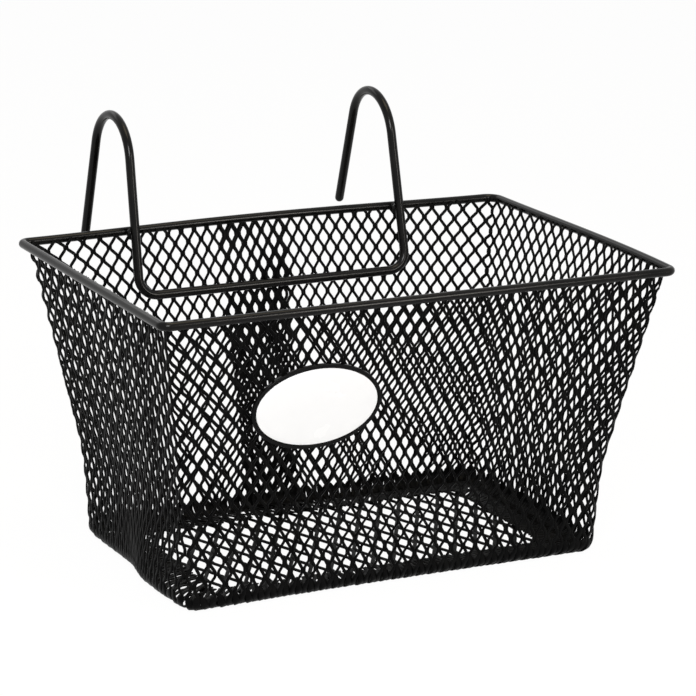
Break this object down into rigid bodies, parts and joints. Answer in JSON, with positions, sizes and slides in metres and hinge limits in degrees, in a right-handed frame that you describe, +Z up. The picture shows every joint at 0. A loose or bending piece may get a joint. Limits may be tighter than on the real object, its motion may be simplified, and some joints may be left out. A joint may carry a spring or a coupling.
{
  "type": "bicycle basket",
  "caption": "Hook-on bicycle basket: flared tub of black expanded metal on a wire rim, hung from a handlebar by a bent wire with two hooks, with a blank oval plate on the front.",
  "frame": {"origin": "middle of the floor sheet's underside, where its strands cross", "axes": "+Z up; -Y to the front, where the plate is; +Y to the back, where the hooks are; +X to the right seen from the front"},
  "size_m": [0.3454, 0.3217, 0.2626],
  "materials": {
    "mesh_paint": "semi-gloss black",
    "wire_paint": "semi-gloss black",
    "plate_paint": "gloss black",
    "plate_enamel": "gloss white, bare"
  },
  "bodies": {
    "root": {"wall_front": "mesh_paint", "wall_left": "mesh_paint", "wall_right": "mesh_paint", "wall_back_left": "mesh_paint", "wall_back_right": "mesh_paint", "floor_sheet": "mesh_paint", "rim_wire": "wire_paint", "hook_wire": "wire_paint", "hook_weld_left": "wire_paint", "hook_weld_right": "wire_paint", "plate_tray": "plate_paint", "plate_face": "plate_enamel"}
  },
  "joints": []
}
